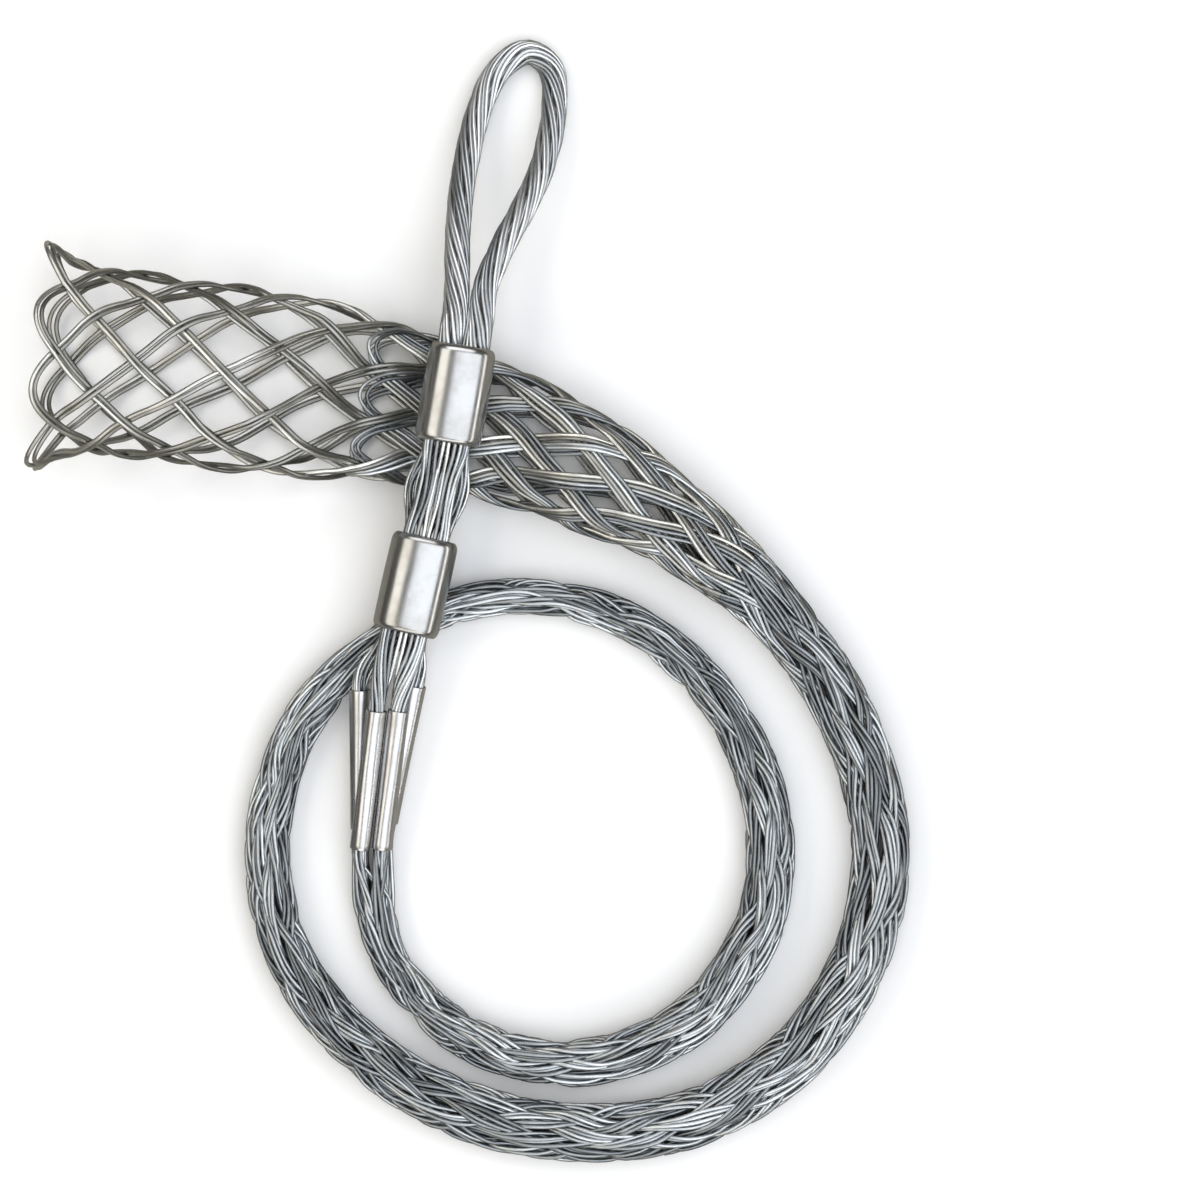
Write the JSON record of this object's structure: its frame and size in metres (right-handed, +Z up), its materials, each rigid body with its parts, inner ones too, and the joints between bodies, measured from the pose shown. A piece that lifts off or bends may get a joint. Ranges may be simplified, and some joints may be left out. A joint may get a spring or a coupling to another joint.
{
  "type": "cable pulling grip",
  "caption": "Woven wire sock that tightens on a cable end, with sleeved wire groups, pressed ferrules and a rope eye, lying coiled with its mouth open.",
  "frame": {"origin": "on the ground under the middle of the part's bounding box", "axes": "+Z up, away from the ground it lies on; +Y roughly from the coil to the eye; the mouth of the sock opens towards -X"},
  "size_m": [0.3478, 0.4476, 0.0831],
  "materials": {
    "wire": "galvanised, satin",
    "mouth_wire": "galvanised, satin, slightly warmer",
    "wire_rope": "galvanised wire rope, satin",
    "ferrule": "polished, nickel plated steel",
    "sleeve": "polished thin tube"
  },
  "bodies": {
    "root": {"eye_rope": "wire_rope", "upper_ferrule": "ferrule", "lower_ferrule": "ferrule", "wire_group_1": "wire", "wire_group_2": "wire", "wire_group_3": "wire", "wire_group_4": "wire", "sleeve_1": "sleeve", "sleeve_2": "sleeve", "sleeve_3": "sleeve", "sleeve_4": "sleeve", "closed_braid": "wire", "mouth_loop_1": "mouth_wire", "mouth_loop_2": "mouth_wire", "mouth_loop_3": "mouth_wire", "mouth_loop_4": "mouth_wire", "mouth_loop_5": "mouth_wire", "mouth_loop_6": "mouth_wire", "mouth_loop_7": "mouth_wire", "mouth_loop_8": "mouth_wire", "step_loop_1": "wire", "step_loop_2": "wire", "step_loop_3": "wire", "step_loop_4": "wire", "step_loop_5": "wire", "step_loop_6": "wire", "step_loop_7": "wire", "step_loop_8": "wire"}
  },
  "joints": []
}
